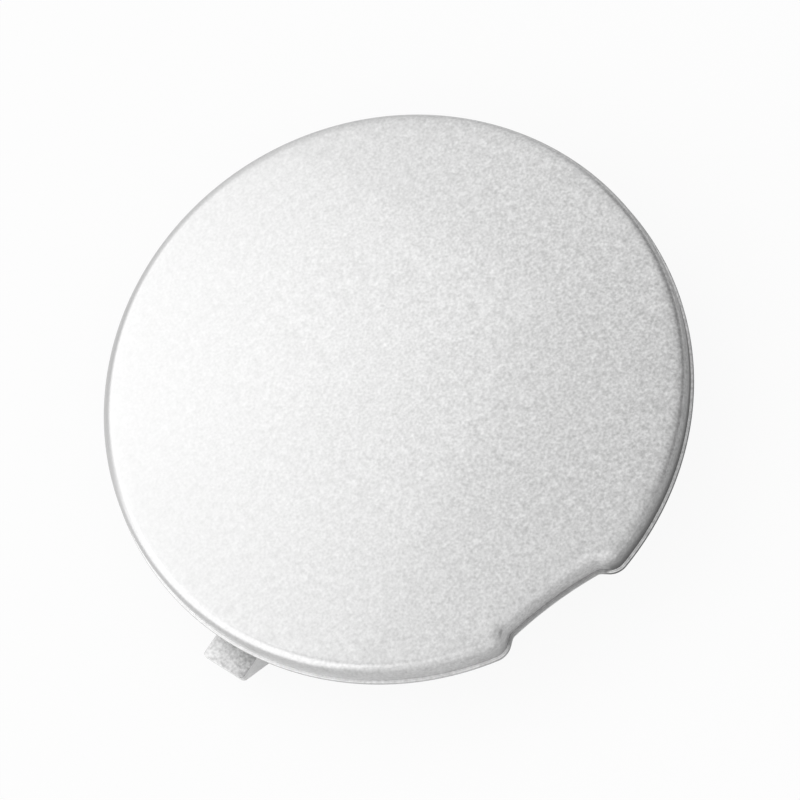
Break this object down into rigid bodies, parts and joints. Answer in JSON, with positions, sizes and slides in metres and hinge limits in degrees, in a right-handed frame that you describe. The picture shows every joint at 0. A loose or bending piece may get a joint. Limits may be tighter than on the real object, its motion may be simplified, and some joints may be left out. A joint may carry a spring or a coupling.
{
  "type": "bumper tow hook cover",
  "caption": "Round silver-painted snap-in cover for the towing eye hole of a bumper, with a pry notch in its rim, an edge hook and snap arms on its back.",
  "frame": {"origin": "centre of the seat ring, the flat underside of the rim's lip that lies on the bumper", "axes": "+Z out of the bumper through the painted face, -Y towards the pry notch, +X completes a right-handed frame"},
  "size_m": [0.0608, 0.0591, 0.0122],
  "materials": {
    "silver_paint": "fine metallic silver basecoat under clear lacquer on a moulded plastic cover"
  },
  "bodies": {
    "root": {"tow_hook_cover": "silver_paint"}
  },
  "joints": []
}
